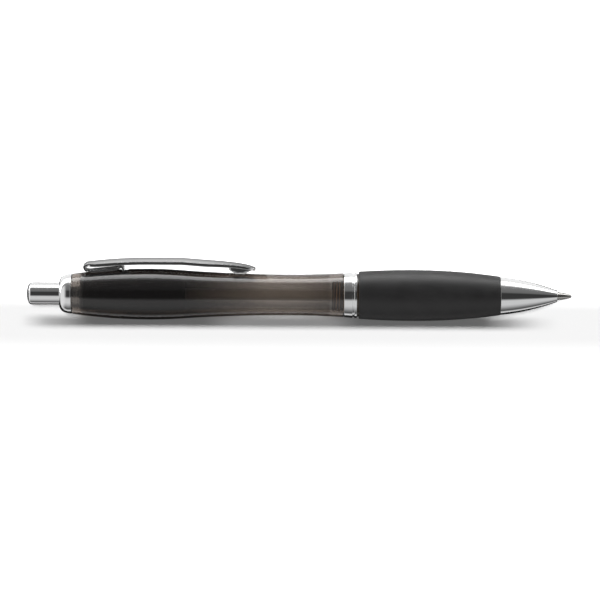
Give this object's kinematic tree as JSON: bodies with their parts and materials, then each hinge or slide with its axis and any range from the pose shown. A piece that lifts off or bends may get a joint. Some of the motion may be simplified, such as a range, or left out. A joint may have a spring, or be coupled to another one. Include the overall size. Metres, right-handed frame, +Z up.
{
  "type": "retractable ballpoint pen",
  "caption": "Click-action ballpoint pen with a tinted see-through barrel, plated clip and rings, soft dark grip and plated nose, writing tip out.",
  "frame": {"origin": "the front point of the writing ball, on the pen's axis", "axes": "+X along the pen's axis from the button to the writing tip, +Z up from the table that the pen lies on"},
  "size_m": [0.1411, 0.0157, 0.0132],
  "materials": {
    "smoke_plastic": "polished, smoke-tinted, see-through",
    "chrome_plate": "bright plating",
    "black_plastic": "moulded",
    "core_plastic": "moulded",
    "soft_rubber": "matt",
    "spring_steel": "drawn wire",
    "refill_plastic": "milky, see-through",
    "ink": "thick liquid",
    "tip_metal": "turned",
    "ball_metal": "ground"
  },
  "bodies": {
    "barrel": {"barrel": "smoke_plastic", "end_ring": "chrome_plate", "guide_sleeve": "black_plastic", "clip": "chrome_plate"},
    "button": {"push_button": "chrome_plate", "thrust_cam": "black_plastic"},
    "rotor": {"rotor_cam": "black_plastic"},
    "centre_ring": {"centre_ring": "chrome_plate"},
    "front": {"grip_core": "core_plastic", "rubber_grip": "soft_rubber", "nose_cone": "chrome_plate", "refill_spring": "spring_steel"},
    "refill": {"refill_tube": "refill_plastic", "ink": "ink", "refill_tip": "tip_metal"},
    "ball": {"ball": "ball_metal"}
  },
  "joints": [
    {"name": "button_press", "type": "slide", "parent": "barrel", "child": "button", "axis": [1, 0, 0], "range_m": [-0.0048, 0.0015], "stiffness_N_per_m": 150},
    {"name": "rotor_travel", "type": "slide", "parent": "barrel", "child": "rotor", "axis": [1, 0, 0], "range_m": [-0.0048, 0.0015]},
    {"name": "centre_ring_travel", "type": "slide", "parent": "barrel", "child": "centre_ring", "axis": [1, 0, 0], "range_m": [0, 0.00225]},
    {"name": "front_unscrew", "type": "hinge", "parent": "centre_ring", "child": "front", "pos_m": [-0.0555, 0, 0], "axis": [1, 0, 0], "range_deg": [0, 1080]},
    {"name": "refill_travel", "type": "slide", "parent": "front", "child": "refill", "axis": [1, 0, 0], "range_m": [-0.0048, 0.0015], "deforming": ["refill_spring"]},
    {"name": "ball_roll", "type": "hinge", "parent": "refill", "child": "ball", "pos_m": [-0.0004, 0, 0], "axis": [0, 1, 0], "continuous": true}
  ],
  "couplings": [
    {"joint": "rotor_travel", "follows": "button_press", "ratio": 1},
    {"joint": "refill_travel", "follows": "button_press", "ratio": 1},
    {"joint": "front_unscrew", "follows": "centre_ring_travel", "rad_per_m": 8377.6}
  ]
}
